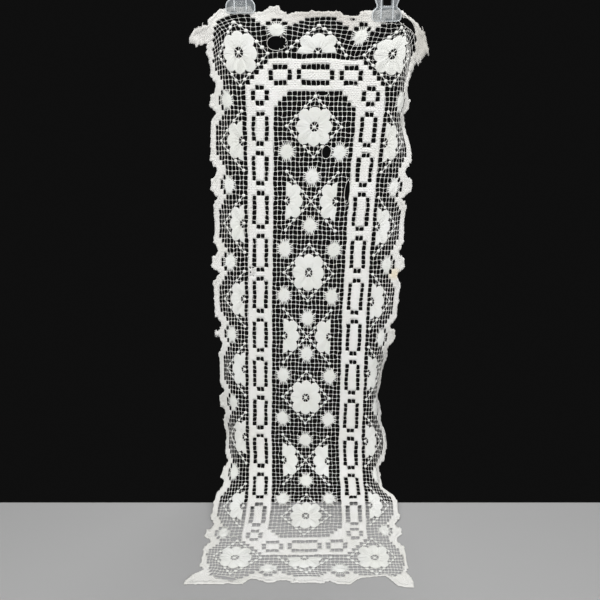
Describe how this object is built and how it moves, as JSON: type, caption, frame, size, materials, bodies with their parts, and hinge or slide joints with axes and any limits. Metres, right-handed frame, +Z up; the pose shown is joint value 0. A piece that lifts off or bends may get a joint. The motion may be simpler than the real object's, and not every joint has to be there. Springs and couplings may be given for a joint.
{
  "type": "lace table runner with hanging clips",
  "caption": "Scalloped off-white filet lace table runner with darned flowers, hung from clear clips at its top corners, its lower end lying forward on the surface below.",
  "frame": {"origin": "on the hanging line, level with the top of the left clip, above the middle of the runner's top edge", "axes": "+Z up, +X to the right of someone facing the runner, who stands on the -Y side"},
  "size_m": [0.3255, 0.2801, 0.7482],
  "materials": {
    "lace": "matt off-white cotton thread",
    "clear_plastic": "clear moulded plastic"
  },
  "bodies": {
    "root": {"lace_runner": "lace", "left_clip": "clear_plastic", "right_clip": "clear_plastic"}
  },
  "joints": []
}
